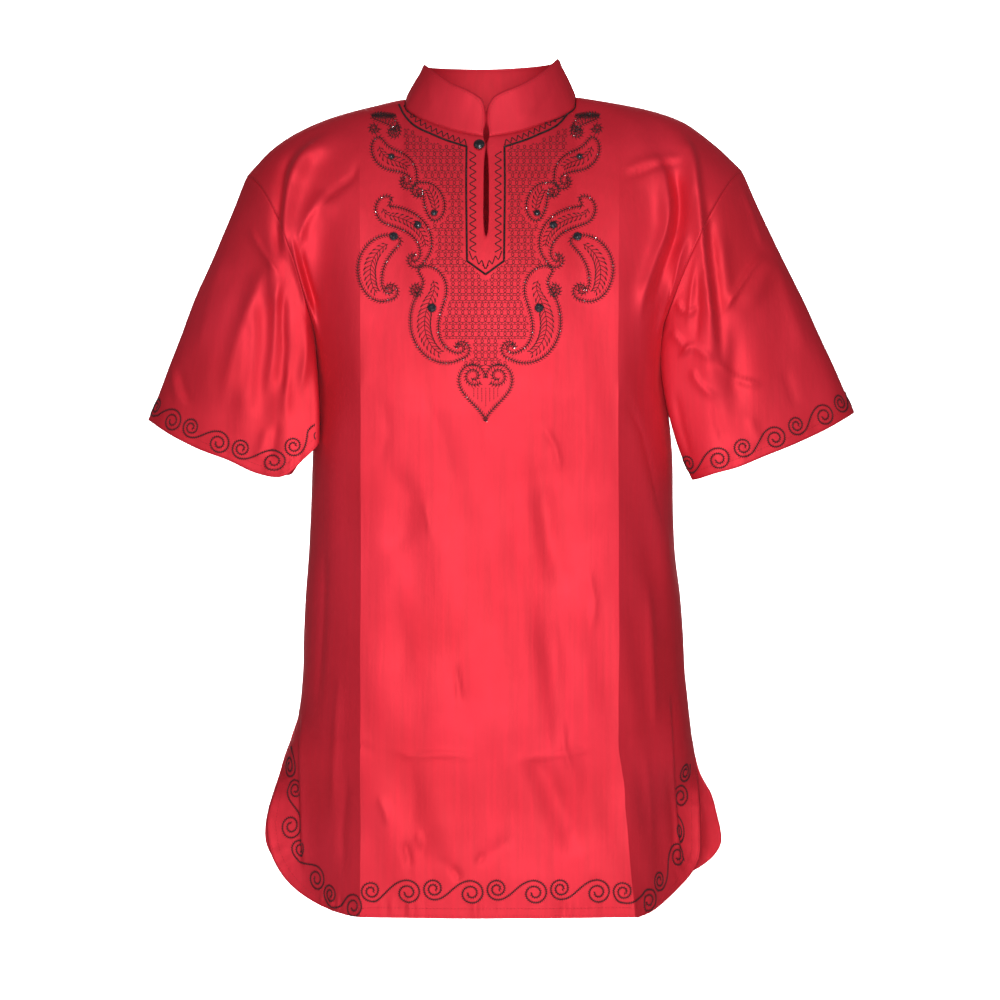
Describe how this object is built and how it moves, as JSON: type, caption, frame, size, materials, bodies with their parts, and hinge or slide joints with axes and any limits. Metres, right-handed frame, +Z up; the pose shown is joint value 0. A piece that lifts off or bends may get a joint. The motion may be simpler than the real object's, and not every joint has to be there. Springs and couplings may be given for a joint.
{
  "type": "dashiki shirt",
  "caption": "Red short-sleeved pullover dashiki shirt with a stand collar, a buttoned neck slit, black embroidery and rounded side vents, filled out as worn.",
  "frame": {"origin": "between the two high shoulder points, in the plane of the shoulder seams, where the wearer's shoulders carry the shirt", "axes": "+X to the wearer's left, +Y to the wearer's back, +Z up; the front faces -Y"},
  "size_m": [0.708, 0.2681, 0.8407],
  "materials": {
    "red_cotton": "polished cotton with a soft sheen",
    "red_collar_cotton": "polished cotton over a stiffener",
    "black_button": "gloss",
    "red_cord": "round cord"
  },
  "bodies": {
    "root": {"front_panel": "red_cotton", "back_panel": "red_cotton", "sleeve_right": "red_cotton", "sleeve_left": "red_cotton", "collar": "red_collar_cotton", "button": "black_button", "button_loop": "red_cord"}
  },
  "joints": []
}
